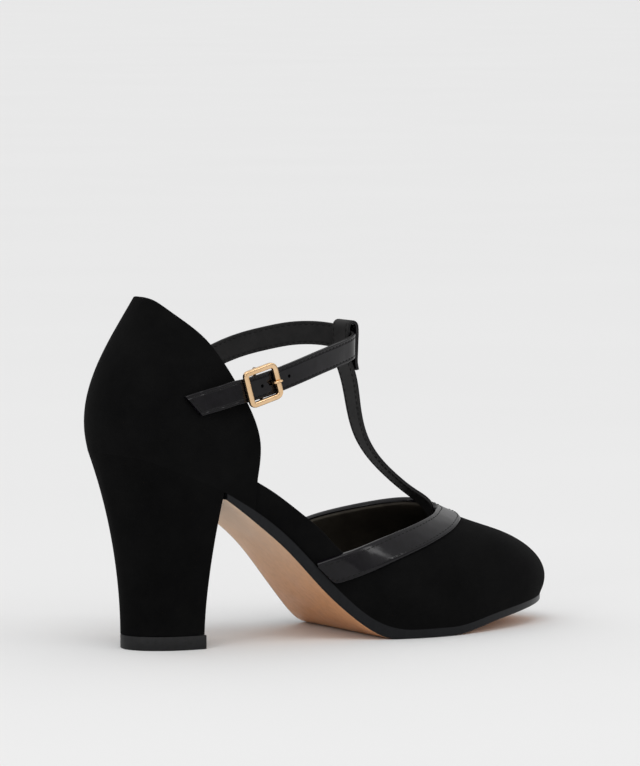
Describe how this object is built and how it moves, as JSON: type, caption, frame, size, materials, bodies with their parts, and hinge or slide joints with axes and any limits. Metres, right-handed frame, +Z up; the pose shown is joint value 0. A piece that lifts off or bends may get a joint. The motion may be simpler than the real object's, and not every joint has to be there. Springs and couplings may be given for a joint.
{
  "type": "t strap shoe",
  "caption": "Right T strap court shoe in black suede with patent straps and trim, a small gold buckle, a tan leather sole and a high covered block heel",
  "frame": {"origin": "centre of the heel's tread, on the floor", "axes": "+X to the toe, +Y to the inner side of the foot (the wearer's left, as this is a right shoe), +Z up"},
  "size_m": [0.2293, 0.0833, 0.1501],
  "materials": {
    "gold_metal": "polished pale gold plating",
    "heel_suede": "black suede wrapped round the block heel",
    "insole_leather": "smooth dark leather lining",
    "patent": "black patent leather, mirror gloss with soft creases",
    "sole_leather": "smooth tan leather with a black painted edge",
    "suede": "black suede with a short even nap",
    "top_piece": "hard black rubber, satin"
  },
  "bodies": {
    "root": {"ankle_strap": "patent", "buckle_frame": "gold_metal", "buckle_prong": "gold_metal", "buckle_tab": "patent", "heel_block": "heel_suede", "heel_top_piece": "top_piece", "insole": "insole_leather", "outsole": "sole_leather", "t_strap": "patent", "upper": "suede", "vamp_binding": "patent"}
  },
  "joints": []
}
